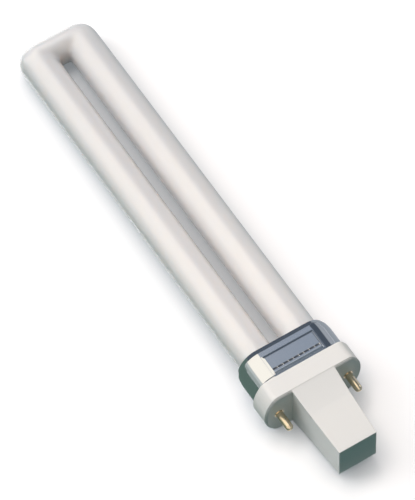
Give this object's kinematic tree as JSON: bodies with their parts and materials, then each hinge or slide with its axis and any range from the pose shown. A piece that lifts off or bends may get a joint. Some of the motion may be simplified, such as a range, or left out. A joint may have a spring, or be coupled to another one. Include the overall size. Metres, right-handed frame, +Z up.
{
  "type": "compact fluorescent lamp",
  "caption": "Twin tube compact fluorescent lamp with a metal collar and a moulded cap whose hollow post holds the starter, on a pair of contact pins.",
  "frame": {"origin": "on the floor plane, under the middle of the lamp's length", "axes": "+Y along the lamp towards the tube's far end, +Z up out of the front face, +X across the two legs. The lamp lies at rest on the flange's back edge and the tube's far end, so its own axis dips 1.16 degrees towards +Y."},
  "size_m": [0.032, 0.1676, 0.0167],
  "materials": {
    "discharge_tube": "satin white coated glass",
    "metal_collar": "drawn and polished",
    "cap_housing": "moulded, soft sheen",
    "tube_cement": "matte",
    "contact_pins": "polished",
    "starter_glass": "clear",
    "capacitor": "dipped",
    "lead_wire": "bare wire"
  },
  "bodies": {
    "root": {"discharge_tube": "discharge_tube", "metal_collar": "metal_collar", "cap_housing": "cap_housing", "tube_cement": "tube_cement", "left_contact_pin": "contact_pins", "right_contact_pin": "contact_pins", "glow_starter": "starter_glass", "starter_capacitor": "capacitor", "left_pin_lead": "lead_wire", "right_pin_lead": "lead_wire", "left_starter_lead": "lead_wire", "right_starter_lead": "lead_wire"}
  },
  "joints": []
}
